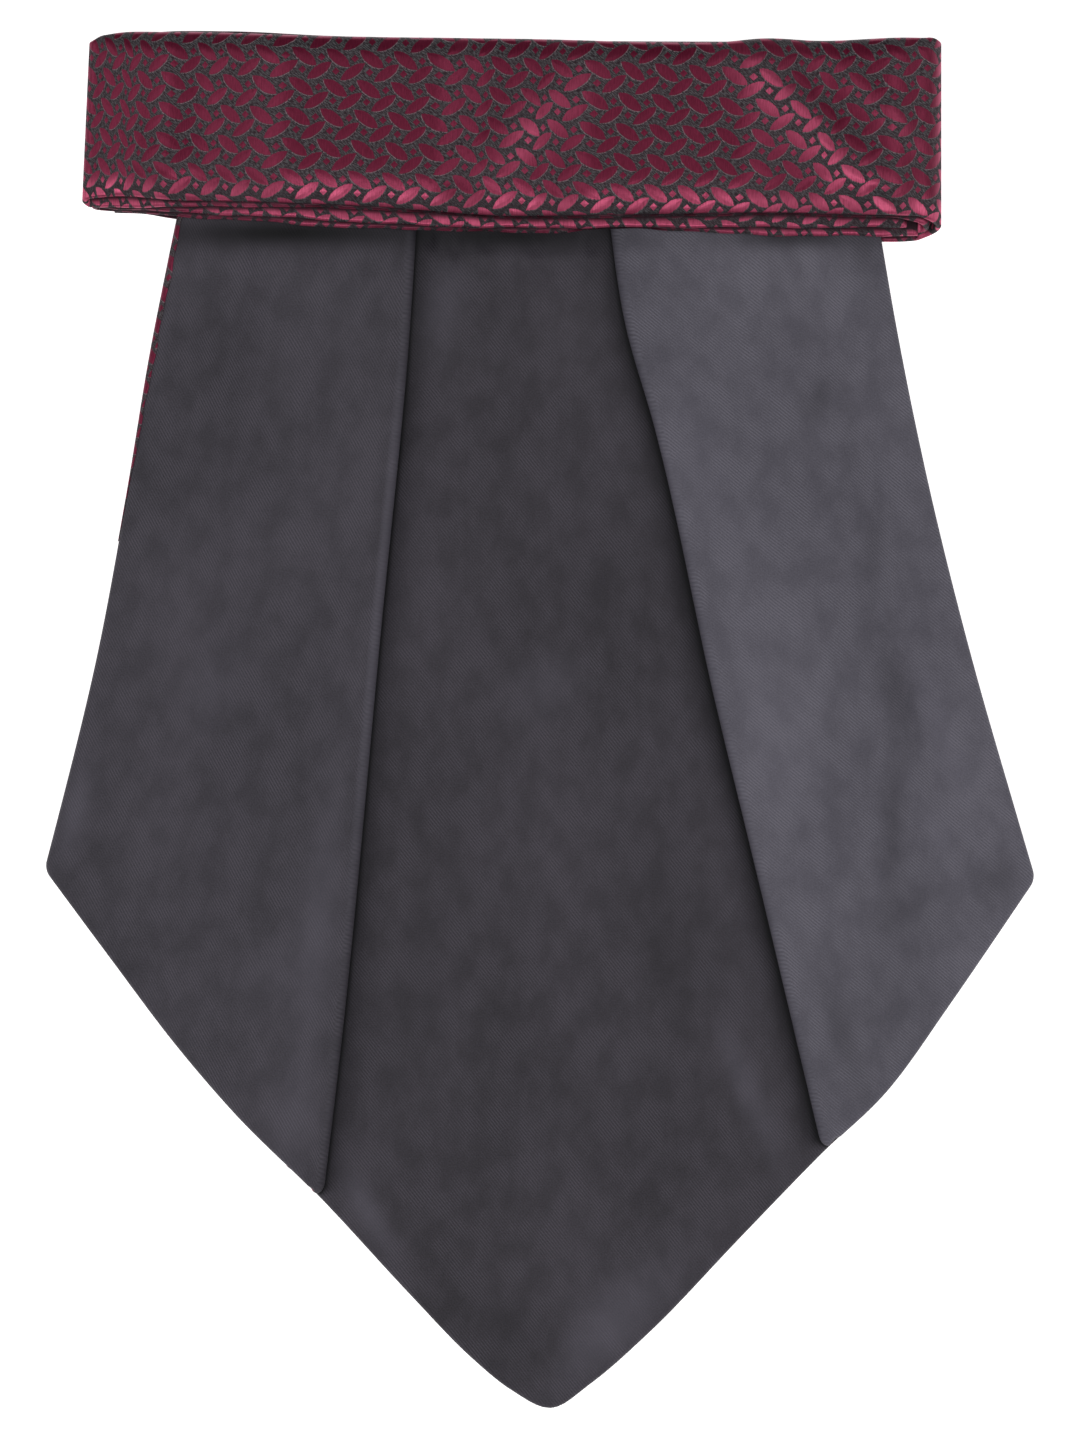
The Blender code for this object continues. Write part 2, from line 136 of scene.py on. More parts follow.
# Soft ridges and troughs of the top ply: start across and up, end across and up, width, height
BAND_CREASES = [
    (32.6, 102.6, 54.6, 81.4, 3.3, 1.10),
    (26.0, 98.0, 44.0, 80.0, 3.6, -0.30),
    (46.0, 103.5, 60.0, 89.5, 2.2, 0.35),
    (-11.0, 85.0, 6.0, 101.5, 4.2, 0.75),
    (-2.0, 83.0, 12.0, 97.0, 4.2, -0.25),
    (-63.0, 88.0, -52.0, 86.0, 4.0, 0.30),
    (18.0, 86.0, 24.0, 98.0, 5.0, 0.22),
    (51.5, 83.0, 56.5, 78.8, 0.7, -0.45),
]

# Lower edges of the band's stretches: distance across, height up the blade
TOP_LOW = [(-71.7, 81.4), (-66.6, 81.9), (-57.6, 81.3), (-45.4, 81.0), (-25.4, 80.2), (-7.2, 78.9),
           (12.7, 79.0), (39.0, 79.3), (56.4, 78.9), (62.8, 78.7)]
SECOND_LOW = [(-71.7, 80.2), (-45.4, 80.2), (-27.4, 79.8), (-14.1, 79.0), (-1.0, 78.4), (14.1, 78.6),
              (48.4, 78.7), (57.3, 78.2), (60.9, 77.4)]
THIRD_LOW = [(-70.0, 80.2), (-56.7, 79.4), (-41.5, 78.6), (-17.0, 77.2), (25.0, 77.0), (60.0, 77.0)]
FOURTH_LOW = [(-71.7, 80.0), (-56.7, 78.8), (-43.4, 77.9), (-31.5, 77.0), (-17.4, 76.6), (0.8, 76.2),
              (15.0, 76.8), (31.0, 75.9), (46.5, 75.7), (62.8, 75.8)]
UNDER_LOW = [(-66.6, 79.4), (-60.8, 79.1), (-56.7, 78.5), (-30.0, 77.6), (30.0, 75.6), (53.7, 74.9),
             (57.2, 74.9), (62.8, 75.6)]

# Upper edges: distance across, height up the blade
TOP_HIGH = [(-71.2, 106.2), (-70.2, 106.9), (-68.5, 107.3), (-58.7, 107.6), (-36.0, 106.9), (-26.0, 106.7),
            (0.0, 106.4), (16.1, 105.9), (29.1, 106.0), (34.5, 106.5), (43.1, 106.2), (59.8, 106.7),
            (61.8, 106.6), (62.8, 105.8)]
SECOND_HIGH = [(-71.0, 106.0), (-62.0, 107.5), (-50.0, 107.7), (-36.0, 107.0), (0.0, 106.2), (62.0, 106.0)]
INNER_HIGH = [(-71.0, 105.8), (62.8, 105.4)]

# Hidden layers inside the packet
CORE_LEFT = -55.0
CORE_RIGHT = 51.5
CORE_LOW = 85.0
CORE_HIGH = 104.5

# Creases pressed or puckered into the blade: start across and up, end across and up, width, height.
# A minus height is a trough.
CREASES = [
    (-46.0, 76.5, -45.0, 70.0, 1.4, -0.60),
    (-35.5, 76.5, -34.5, 71.0, 1.3, -0.55),
    (-17.5, 76.5, -17.0, 73.5, 0.9, -0.90),
    (-13.5, 76.5, -12.8, 71.5, 1.1, -1.00),
    (-8.8, 76.5, -8.3, 73.0, 0.9, -0.80),
    (-1.0, 76.5, -0.4, 72.0, 1.1, -0.90),
    (8.5, 76.5, 8.0, 72.5, 1.0, -0.80),
    (-17.0, 72.4, 12.0, 72.4, 0.7, 0.16),
    (24.0, 76.0, 26.0, 69.0, 1.6, -0.60),
    (39.0, 76.0, 41.0, 70.0, 1.5, -0.60),
    (-22.0, 40.0, -17.5, 45.0, 0.9, 0.35),
    (-31.0, 62.5, -20.5, 61.0, 1.3, 0.25),
    (-26.0, -65.0, -22.0, -84.0, 1.6, 0.30),
    (-21.5, -62.0, -20.0, -80.0, 1.4, -0.25),
    (52.0, 72.0, 57.0, 50.0, 2.4, 0.35),
    (46.0, 60.0, 47.5, 30.0, 3.0, 0.30),
]

# Soft patches of painted light and shade on the lining: middle across and up, length, width, lean in degrees,
# and tone from -1, painted black shade, to 1, painted light
PAINTED_LIGHT_PATCHES = [
    (-39.0, 76.2, 42.0, 5.0, 0.0, -1.00),
    (-3.0, 75.6, 30.0, 4.6, 0.0, -0.85),
    (40.0, 75.4, 24.0, 3.4, 0.0, -0.70),
    (50.5, 73.0, 6.0, 5.0, 60.0, -0.25),
    (-15.2, 65.4, 15.0, 7.0, 80.0, 0.16),
    (1.8, 6.0, 14.0, 10.0, 40.0, 0.14),
    (-51.5, 4.8, 14.0, 9.0, 70.0, 0.10),
    (-34.5, -31.0, 44.0, 6.0, 84.0, 0.17),
    (-41.6, -39.0, 12.0, 8.0, 30.0, 0.08),
    (-38.0, -62.0, 16.0, 8.0, 80.0, 0.10),
    (-73.0, -15.0, 14.0, 4.0, 75.0, 0.18),
    (-27.0, -77.0, 14.0, 4.0, -62.0, 0.24),
    (31.0, -54.6, 30.0, 5.0, -66.0, 0.24),
    (52.0, -44.0, 24.0, 16.0, 50.0, -0.14),
    (11.0, -95.0, 26.0, 9.0, 45.0, 0.24),
    (22.0, -36.0, 40.0, 13.0, -70.0, -0.20),
    (-18.0, -44.0, 36.0, 10.0, 80.0, -0.16),
    (-4.0, -97.0, 14.0, 9.0, -45.0, -0.20),
    (10.0, 20.0, 20.0, 12.0, 60.0, -0.14),
    (-5.0, 60.0, 12.0, 9.0, 90.0, -0.10),
    (43.0, 50.0, 8.0, 4.5, 60.0, -0.30),
    (52.0, 27.0, 12.0, 3.5, 80.0, -0.20),
    (55.3, 4.8, 14.0, 4.5, -75.0, -0.28),
    (54.6, -17.0, 24.0, 3.5, 88.0, -0.24),
    (56.4, -30.0, 10.0, 6.0, 40.0, -0.20),
    (71.8, -24.9, 8.0, 6.0, 50.0, -0.30),
    (47.6, -50.0, 24.0, 3.5, -70.0, -0.22),
    (25.5, 40.0, 26.0, 9.0, -72.0, 0.14),
    (37.0, -2.0, 36.0, 12.0, -74.0, 0.10),
    (63.0, -2.0, 22.0, 5.0, -72.0, 0.20),
    (62.0, -18.0, 12.0, 4.0, -60.0, 0.14),
]

# Painted shade at the foot of each visible fold: its width at the band and further down, and where it has
# widened
FOLD_SHADE = {"left": (0.6, 0.9, 50.0), "right": (0.5, 1.7, 45.0)}
SHADE_FADE = 6.0
# Painted highlight on each fold's lip: strength left and right, and the heights where it grows and where it
# fades
LIP_PAINTED_SHINE = (0.36, 0.10)
LIP_RUNS = [(-46.0, 4.0), (30.0, 74.0)]
PAST_FOOT = 10.0

# Broad unevenness of the lying cloth: waves across, waves up (mm for each), starting angle, height
SWELLS = [(47.0, 83.0, 0.4, 0.16), (-31.0, 61.0, 2.1, 0.12), (23.0, -39.0, 4.0, 0.07), (17.0, 21.0, 1.0, 0.04)]


# Side corners of the blade: place, way along the side edge, way along the hem
CORNERS = [
    ((-77.6, -23.4), (2.0, 7.7), (10.3, -13.9)),
    ((77.6, -24.9), (-2.7, 9.2), (-13.4, -19.6)),
]

# Grain of the outer panels against the centre, in degrees, and how much painted sheen each stretch's lining gets
PANEL_TURN = {"left": 10.4, "right": -11.4}
PANEL_PAINTED_SHEEN = (0.14, 0.14, 0.1, 0.05, 0.0, 0.3, 0.6, 1.0, 1.0)

# The face's roll on to the lining's side, along the left edge
ROLL_WIDTH = 0.85
ROLL_FOOT = 28.0

# Cells of the band's meshes
BAND_CELLS = 240
TURN_CELLS = 16
BAND_CELLS_ACROSS = 40
BAND_CROWDED = 0.12
RIM = 0.5
WOBBLE_FADE = 6.0
SQUEEZED_FROM = -57.5
SQUEEZE = 0.062
CORE_PLIES = 5
# Painted shade beside the edge of the stretch above: its reach in mm and its strength; then the painted
# highlight further out
CREVICE_SHADE_REACH = 0.5
CREVICE_PAINTED_SHADE = 0.95
EDGE_PAINTED_SHINE = 0.7

# The jacquard's repeat: columns and rows of leaf-shaped floats that lean one way and the other by turns,
# with a small diamond between two floats of a row. Lengths in mm, angles in degrees, at in repeats.
REPEAT_ACROSS = (5.25, -0.24)
REPEAT_UP = (0.34, 4.73)
REPEAT_AT = (-48.95, 99.5)
FLOATS = [
    {"at": (0.0, 0.0), "lean": -37.0, "length": 4.7, "width": 1.75},
    {"at": (0.47, -0.44), "lean": 35.0, "length": 4.6, "width": 1.6},
]
LEAF_POWER = 2.5
DIAMOND_REACH = 0.6
HAIR_LEAN = -38.0
TWILL_PITCH = 0.52

BURGUNDY = (0.090, 0.0045, 0.019, 1.0)
BURGUNDY_LIGHT = (0.128, 0.009, 0.030, 1.0)
# The silk's colour where sheen is painted
BURGUNDY_PAINTED_SHINE = (0.480, 0.080, 0.155, 1.0)
GROUND = (0.009, 0.0110, 0.0120, 1.0)
FLECK = (0.078, 0.087, 0.090, 1.0)
OUTLINE = (0.22, 0.15, 0.17, 1.0)
LINING = (0.020, 0.0185, 0.022, 1.0)
LINING_LIGHT = (0.085, 0.076, 0.095, 1.0)
# The lining's colours where sheen is painted
LINING_PAINTED_SHEEN = (0.054, 0.051, 0.065, 1.0)
LINING_PAINTED_SHEEN_LIGHT = (0.165, 0.156, 0.190, 1.0)
# Painted shade and painted light
SHADED = (0.004, 0.004, 0.005, 1.0)
LIT = (0.160, 0.150, 0.190, 1.0)
SILK_GLOSS = (1.0, 0.45, 0.6, 1.0)

# Studio
SURROUND = 0.25
FLOOR_GLOW = 0.8
FLOOR_REACH = 4.0
FLOOR_BELOW = -0.0002
PHOTO_HEIGHT = 0.2255
CAMERA_LENS = 900.0
CAMERA_SENSOR = 36.0

# Soft lights: name, place, size, energy
LIGHTS = [
    ("front", (0.00, -0.46, 1.10), 0.30, 3.2),
    ("right", (0.75, 0.00, 0.95), 0.7, 4.2),
    ("left", (-0.75, 0.00, 0.95), 0.7, 4.2),
]


def soft_step(t):
    """Rise from 0 to 1 with level ends: 3t^2 - 2t^3 between 0 and 1."""
    t = np.clip(t, 0.0, 1.0)
    return t * t * (3.0 - 2.0 * t)


def blend(a, b, t):
    """The straight mix of a and b: a at t = 0 and b at t = 1."""
    return a + (b - a) * t


def through(table, at):
    """Cubic curve through a table of (place, value), whose slope at a row comes from its neighbours."""
    rows = np.array(sorted(table))
    place, value = rows[:, 0], rows[:, 1]
    slope = np.gradient(value, place)
    k = np.clip(np.searchsorted(place, at) - 1, 0, len(place) - 2)
    width = place[k + 1] - place[k]
    t = (at - place[k]) / width
    start = value[k] * (1 + 2 * t) * (1 - t) ** 2 + width * slope[k] * t * (1 - t) ** 2
    end = value[k + 1] * t * t * (3 - 2 * t) + width * slope[k + 1] * t * t * (t - 1)
    return start + end


def up_the_fold(side, y):
    """How far up its fold a height is: 0 at the hem and 1 at the blade's top."""
    foot = min(side["fold"])[0]
    return (y - foot) / (BLADE_TOP - foot)


def turn_centres(side, y):
    """Where the centres of a pleat's two turns are across, at height y: the visible one, the hidden one."""
    reach = TURN_RADIUS + PLY / 2.0
    visible = through(side["fold"], y) + side["sign"] * reach
    depth = blend(PLEAT_AT_HEM, PLEAT_AT_TOP, up_the_fold(side, y))
    return visible, visible + side["sign"] * depth


def turn_profile(t, corner):
    """How far out and up a turn's middle line runs: half a square with rounded corners, from top to bottom.

    A corner as large as the turn's radius makes half a circle. t runs evenly along the cloth's outer side.
    """
    flat = TURN_RADIUS - corner
    arc = (corner + PLY / 2.0) * np.pi / 2.0
    run = t * (2.0 * arc + 4.0 * flat)
    over = np.clip(run, 0.0, flat)
    first = np.clip(run - flat, 0.0, arc) / arc * np.pi / 2.0
    down = np.clip(run - flat - arc, 0.0, 2.0 * flat)
    second = np.clip(run - 3.0 * flat - arc, 0.0, arc) / arc * np.pi / 2.0
    back = np.clip(run - 3.0 * flat - 2.0 * arc, 0.0, flat)
    out = over + corner * np.sin(first) - corner * (1.0 - np.cos(second)) - back
    return out, TURN_RADIUS - corner * (1.0 - np.cos(first)) - down - corner * np.sin(second)


def lift(v):
    """Height of the sheet's lowest side: up on the band's under stretch at the top, then on the floor."""
    return BLADE_LIFT * (1.0 - soft_step((v - LIFT_ENDS) / (LIFT_GONE - LIFT_ENDS)))


def pleat_point(side, stretch, t, v, corner=TURN_RADIUS):
    """A point of a pleat. t runs from the visible side of the stretch to its hidden side, v down the fold.

    A turn is half a circle in the plane across the fold, or half a rounded square where the visible turn's
    corner is less than its radius, and the hidden ply is straight. Towards the hem, the row leaves the level
    and follows the hem's slope, so that all plies end on the same line.
    """
    sign = side["sign"]
    fold_y = blend(BLADE_TOP, min(side["fold"])[0], v)
    out, up = turn_profile(t, corner if stretch == "visible turn" else TURN_RADIUS)
    height = PLY / 2.0 + lift(v)

    def across(y):
        visible, hidden = turn_centres(side, y)
        if stretch == "visible turn":
            return visible - sign * out
        if stretch == "hidden turn":
            return hidden + sign * out
        return blend(visible, hidden, t)

    drop = through(HEM, across(fold_y)) - through(HEM, through(side["fold"], fold_y))
    y = fold_y + drop * v ** 4
    if stretch == "visible turn":
        z = height + 1.5 * PLY_PITCH + up
    elif stretch == "hidden turn":
        z = height + 0.5 * PLY_PITCH + up
    else:
        z = height + PLY_PITCH
    return across(y), y, z


def outer_point(side, t, v):
    """A point of an outer panel: t runs from its side edge to the visible turn.

    The panel is flat on the pleat, comes down in a soft step beside it and is flat on the floor.
    """
    foot = min(side["edge"])
    edge_y = blend(BLADE_TOP, foot[0], v)
    edge_x = through(side["edge"], edge_y)
    end_x, end_y, _ = pleat_point(side, "visible turn", np.zeros_like(t), v)
    hem_end_x, hem_end_y, _ = pleat_point(side, "visible turn", np.zeros_like(t), np.ones_like(v))
    x = blend(edge_x, end_x, t)
    bulge = through(HEM, blend(foot[1], hem_end_x, t)) - blend(foot[0], hem_end_y, t)
    y = blend(edge_y, end_y, t) + bulge * v
    run = blend(SLOPE_RUN_AT_HEM, SLOPE_RUN_AT_TOP, up_the_fold(side, y))
    beyond = side["sign"] * (x - turn_centres(side, y)[1])
    return x, y, PLY / 2.0 + lift(v) + 2.0 * PLY_PITCH * soft_step(1.0 - beyond / run)


def centre_point(t, v):
    """A point of the centre panel: t runs from the left pleat's hidden turn to the right pleat's."""
    left, right = [pleat_point(side, "hidden turn", np.ones_like(t), v) for side in SIDES.values()]
    hem_left, hem_right = [pleat_point(side, "hidden turn", np.ones_like(t), np.ones_like(v))
                           for side in SIDES.values()]
    x = blend(left[0], right[0], t)
    bulge = through(HEM, blend(hem_left[0], hem_right[0], t)) - blend(hem_left[1], hem_right[1], t)
    y = blend(left[1], right[1], t) + bulge * v
    return x, y, PLY / 2.0 + lift(v)


def crowded(cells, share, power):
    """Places from 0 to 1: a quarter of the cells crowd into the first share, and the rest are even."""
    near = share * np.linspace(0.0, 1.0, cells // 4 + 1) ** power
    return np.concatenate([near, np.linspace(share, 1.0, cells - cells // 4 + 1)[1:]])


def blade_stretches(density, corner):
    """The sheet's nine stretches from left to right: the function of a point and the places across."""
    outer = crowded(int(52 * density), 0.1, 1.8)
    turn = np.linspace(0.0, 1.0, int(20 * density) + 1)
    under = np.linspace(0.0, 1.0, int(6 * density) + 1)
    centre = np.linspace(0.0, 1.0, int(76 * density) + 1)

    def pleat(name, stretch, backwards):
        if backwards:
            return lambda t, v: pleat_point(SIDES[name], stretch, 1.0 - t, v, corner)
        return lambda t, v: pleat_point(SIDES[name], stretch, t, v, corner)

    return [
        (lambda t, v: outer_point(SIDES["left"], t, v), outer),
        (pleat("left", "visible turn", False), turn),
        (pleat("left", "hidden ply", False), under),
        (pleat("left", "hidden turn", False), turn),
        (centre_point, centre),
        (pleat("right", "hidden turn", True), turn),
        (pleat("right", "hidden ply", True), under),
        (pleat("right", "visible turn", True), turn),
        (lambda t, v: outer_point(SIDES["right"], 1.0 - t, v), 1.0 - outer[::-1]),
    ]


def stacked(point, t, v):
    """A stretch's points as one array with X, Y and Z last."""
    return np.stack(np.broadcast_arrays(*point(t, v)), axis=-1)


def unit(vectors):
    """Vectors scaled to length 1."""
    return vectors / np.linalg.norm(vectors, axis=-1, keepdims=True)


def sheet_grid(stretches, rows):
    """Points, normals and stretch numbers of a sheet: each stretch's grid, joined side by side.

    The normal is the cross product of the direction down the sheet and the direction across it, both
    taken from points a tiny step away. Where two stretches meet, the column is kept once.
    """
    v = rows[:, None]
    points = []
    normals = []
    owners = []
    for number, (point, places) in enumerate(stretches):
        t = places[None, :] if number == 0 else places[None, 1:]
        down = stacked(point, t, np.minimum(v + TINY, 1.0)) - stacked(point, t, np.maximum(v - TINY, 0.0))
        across = stacked(point, t + TINY, v) - stacked(point, t - TINY, v)
        points.append(stacked(point, t, v))
        normals.append(unit(np.cross(down, across)))
        owners.append(np.full(t.shape[1], number))
    return np.concatenate(points, axis=1), np.concatenate(normals, axis=1), np.concatenate(owners)


def lengths_along(points, axis):
    """Distance run along a grid's lines in one direction, from 0 at its first line."""
    step = np.linalg.norm(np.diff(points, axis=axis), axis=-1)
    start = np.zeros_like(np.take(step, [0], axis=axis))
    return np.concatenate([start, np.cumsum(step, axis=axis)], axis=axis)


def new_piece(name, node, corners, faces, places):
    """An object from corners in mm, faces, and a UV place in mm for each corner of each face."""
    mesh = bpy.data.meshes.new(name)
    mesh.from_pydata((corners * METRES).tolist(), [], faces.tolist())
    layer = mesh.uv_layers.new(name="UVMap")
    layer.data.foreach_set("uv", (places * UV_PER_MM).ravel())
    mesh.shade_smooth()
    made = bpy.data.objects.new(name, mesh)
    bpy.context.scene.collection.objects.link(made)
    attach(made, "root")
    if node:
        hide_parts(node)
    return made


def shell_faces(rows, columns):
    """Faces of a closed shell: the upper grid, the lower grid turned over, and the rim round both."""
    count = rows * columns
    number = np.arange(count).reshape(rows, columns)
    over = np.stack([number[:-1, :-1], number[1:, :-1], number[1:, 1:], number[:-1, 1:]], axis=-1)
    over = over.reshape(-1, 4)
    ring = np.concatenate([number[:-1, 0], number[-1, :-1], number[:0:-1, -1], number[0, :0:-1]])
    after = np.roll(ring, -1)
    rim = np.stack([ring, ring + count, after + count, after], axis=-1)
    return np.concatenate([over, over[:, ::-1] + count, rim])


def shell(name, node, upper, lower, uv):
    """A closed shell between two grids of points; uv is a grid of places in mm."""
    faces = shell_faces(*upper.shape[:2])
    corners = np.concatenate([upper.reshape(-1, 3), lower.reshape(-1, 3)])
    places = np.concatenate([uv.reshape(-1, 2), uv.reshape(-1, 2)])
    return new_piece(name, node, corners, faces, places[faces.ravel()])


def keep(made, name, values):
    """Keeps a number at each point of a shell, the same on its upper and its lower grid."""
    made.data.attributes.new(name, "FLOAT", "POINT").data.foreach_set("value", np.tile(values.ravel(), 2))


def tube(name, node, outer, inner, uv):
    """An open tube with a wall, from two grids whose rows go round it. uv has one row more, for the seam."""
    rows, columns = outer.shape[:2]
    count = rows * columns
    number = np.arange((rows + 1) * columns).reshape(rows + 1, columns)
    over = np.stack([number[:-1, :-1], number[1:, :-1], number[1:, 1:], number[:-1, 1:]], axis=-1)
    over = over.reshape(-1, 4)
    apart = (rows + 1) * columns
    first, last = number[:, 0], number[:, -1]
    start = np.stack([first[:-1], first[:-1] + apart, first[1:] + apart, first[1:]], axis=-1)
    end = np.stack([last[1:], last[1:] + apart, last[:-1] + apart, last[:-1]], axis=-1)
    faces = np.concatenate([over, over[:, ::-1] + apart, start, end])
    places = np.concatenate([uv.reshape(-1, 2), uv.reshape(-1, 2)])[faces.ravel()]
    wrapped = np.where(faces >= apart, (faces - apart) % count + count, faces % count)
    corners = np.concatenate([outer.reshape(-1, 3), inner.reshape(-1, 3)])
    return new_piece(name, node, corners, wrapped, places)


def crease_height(creases, x, y):
    """Height of soft ridges and troughs along short lines: a bell across each line, fading at its ends."""
    height = np.zeros_like(x)
    for x0, y0, x1, y1, width, top in creases:
        run, rise = x1 - x0, y1 - y0
        along = np.clip(((x - x0) * run + (y - y0) * rise) / (run * run + rise * rise), 0.0, 1.0)
        away = np.hypot(x - x0 - along * run, y - y0 - along * rise)
        height += top * np.exp(-(away / width) ** 2) * (0.25 + 3.0 * along * (1.0 - along))
    return height


def swell_height(x, y):
    """Height of the long low waves in which the cloth lies."""
    height = np.zeros_like(x)
    for across, up, start, top in SWELLS:
        height += top * np.sin(2.0 * np.pi * (x / across + y / up) + start)
    return height


def painted_light_and_shade(patches, x, y):
    """Sum of soft elliptical patches of painted light and shade: each a bell that falls off with the share of
    its half length and width.
    """
    tone = np.zeros_like(x)
    for middle_x, middle_y, length, width, lean, top in patches:
        turn = np.radians(lean)
        along = (x - middle_x) * np.cos(turn) + (y - middle_y) * np.sin(turn)
        off = (y - middle_y) * np.cos(turn) - (x - middle_x) * np.sin(turn)
        tone += top * np.exp(-(2.0 * along / length) ** 2 - (2.0 * off / width) ** 2)
    return tone


def beside_fold(name, x, y):
    """Distance from a visible fold: on the centre's side in widths of its painted shade, on the panel's in minus
    mm.

    Below the fold's foot, the distance grows, so that the painted shade fades out.
    """
    side = SIDES[name]
    at_band, further, widened = FOLD_SHADE[name]
    foot = min(side["fold"])[0]
    away = -side["sign"] * (x - through(side["fold"], np.maximum(y, foot)))
    width = blend(at_band, further, soft_step((BLADE_TOP - y) / (BLADE_TOP - widened)))
    return np.where(away > 0.0, away / width, away) + PAST_FOOT * soft_step((foot + 2.0 - y) / SHADE_FADE)


def painted_lip_shine(y):
    """How much of a visible fold's lip gets its painted highlight at a height: it grows from the hem and fades
    at the band.
    """
    (low, full), (fades, gone) = LIP_RUNS
    return soft_step((y - low) / (full - low)) * (1.0 - 0.7 * soft_step((y - fades) / (gone - fades)))


def round_corners(points):
    """The blade's two side corners rounded off.

    Seen from the centre of the corner's arc, a point's distance is shortened by the share by which the arc
    lies nearer than the corner's straight edges in that direction.
    """
    for corner, side_way, hem_way in CORNERS:
        side_way, hem_way = unit(np.array(side_way)), unit(np.array(hem_way))
        inward = unit(side_way + hem_way)
        half = np.arccos(side_way @ inward)
        centre = np.array(corner) + inward * CORNER_RADIUS / np.sin(half)
        offset = points[..., :2] - centre
        distance = np.maximum(np.linalg.norm(offset, axis=-1), TINY)
        turn = np.arccos(np.clip(-(offset @ inward) / distance, -1.0, 1.0))
        share = np.cos(np.maximum(np.pi / 2.0 - half - turn, 0.0))
        points[..., :2] = centre + offset * share[..., None]
    return points


def half_thickness(inside):
    """Half the blade's thickness at a distance in from its edge: a quarter of an ellipse, then level."""
    t = 1.0 - np.clip(inside / EDGE_ROLL_REACH, 0.0, 1.0)
    return np.maximum(PLY / 2.0 * np.sqrt(1.0 - t * t), LEAST_HALF)


def blade_grid(density, rows, corner):
    """The blade's middle surface: points, normals, stretch numbers, distance in from the edge, places."""
    top = np.linspace(0.0, 0.1, rows // 5 + 1)[:-1]
    down = 1.0 - 0.9 * crowded(rows - rows // 5, 0.05, 1.8)[::-1]
    points, normals, owners = sheet_grid(blade_stretches(density, corner), np.concatenate([top, down]))
    across, up = lengths_along(points, 1), lengths_along(points, 0)
    inside = np.minimum(np.minimum(across, across[:, -1:] - across), up[-1:] - up)
    places = panel_places(points, across, owners)
    return round_corners(points), normals, owners, inside, places


def panel_places(points, across, owners):
    """Cloth places in mm: each panel's own X and Y, turned with it. A pleat goes on from its outer panel."""
    places = points[..., :2].copy()
    left_fold = np.flatnonzero(owners == 0)[-1]
    right_fold = np.flatnonzero(owners == 8)[0]
    for name, fold, numbers in (("left", left_fold, (0, 1, 2, 3)), ("right", right_fold, (5, 6, 7, 8))):
        turn = np.radians(PANEL_TURN[name])
        beyond = across - across[:, fold:fold + 1]
        pleat = np.isin(owners, numbers[1:] if name == "left" else numbers[:-1])
        x = np.where(pleat[None, :], points[:, fold:fold + 1, 0] + beyond, points[..., 0])
        y = points[..., 1]
        mine = np.isin(owners, numbers)
        places[:, mine, 0] = (x * np.cos(turn) - y * np.sin(turn))[:, mine]
        places[:, mine, 1] = (x * np.sin(turn) + y * np.cos(turn))[:, mine]
    return places


def make_lining():
    """The twill lining: the sheet's upper side, thinning to the seam along the edges."""
    points, normals, owners, inside, places = blade_grid(1.0, 150, CREASE_CORNER)
    half = half_thickness(inside)
    shown = (owners == 0) | (owners == 4) | (owners == 8)
    x, y = points[..., 0], points[..., 1]
    relief = (crease_height(CREASES, x, y) + swell_height(x, y)) * shown[None, :] * soft_step(inside / 4.0)
    upper = points + (half + relief)[..., None] * normals
    lower = points + (half + relief - SHELL * half / (PLY / 2.0))[..., None] * normals
    made = shell("lining_cloth", "blade_lining", upper, lower, places)
    # Painted sheen, stronger on some panels
    panel_painted_sheen = np.array([PANEL_PAINTED_SHEEN[number] for number in owners])
    keep(made, "panel_painted_sheen", np.broadcast_to(panel_painted_sheen[None, :], x.shape))
    # Painted light and shade in patches
    keep(made, "tone", painted_light_and_shade(PAINTED_LIGHT_PATCHES, x, y))
    # Distances for the painted shade beside each fold, and the share of the painted highlight on its lip
    for name in SIDES:
        keep(made, name + "_fold", beside_fold(name, x, y))
        keep(made, name + "_lip", painted_lip_shine(y))
    return made


def make_face():
    """The jacquard face: the sheet's lower side, meeting the lining at the edges."""
    points, normals, _, inside, places = blade_grid(0.6, 84, TURN_RADIUS)
    half = half_thickness(inside)
    upper = points - (half - SHELL * half / (PLY / 2.0))[..., None] * normals
    lower = points - half[..., None] * normals
    return shell("face_cloth", "blade_face", upper, lower, places)


def make_face_roll():
    """The face where it rolls round the left edge on to the lining's side, widest under the band.

    Across it runs an arc round the blade's edge, from under the edge to ROLL_WIDTH in from it at the top,
    and to the edge itself at its lower end.
    """
    y = np.linspace(BLADE_TOP, ROLL_FOOT, 120)[None, :]
    up = (y - ROLL_FOOT) / (BLADE_TOP - ROLL_FOOT)
    width = ROLL_WIDTH * soft_step(up * 1.7) * (1.0 + 0.12 * np.sin(y / 2.1) + 0.1 * np.sin(y / 0.9))
    end = np.arccos(1.0 - width / EDGE_ROLL_REACH)
    turn = blend(-0.9, end, np.linspace(0.0, 1.0, 15)[:, None])
    v = (BLADE_TOP - y) / (BLADE_TOP - min(LEFT_EDGE)[0])

    def arc(out):
        x = through(LEFT_EDGE, y) + EDGE_ROLL_REACH * (1.0 - np.cos(turn)) - out * np.cos(turn)
        z = PLY / 2.0 + lift(v) + (PLY / 2.0 + out) * np.sin(turn)
        return np.stack(np.broadcast_arrays(x, y, z), axis=-1)

    places = np.stack(np.broadcast_arrays(EDGE_ROLL_REACH * turn - 58.0, y), axis=-1)
    return shell("face_roll_left", None, arc(0.14)[::-1], arc(0.02)[::-1], places[::-1])


def band_bed(x):
    """Height of the underside of the band's lowest stretch, as the steps of what lies under it."""
    height = np.full_like(x, BAND_BED)
    for start, end, rise in BAND_STEPS:
        height = height + rise * soft_step((x - start) / (end - start))
    return height


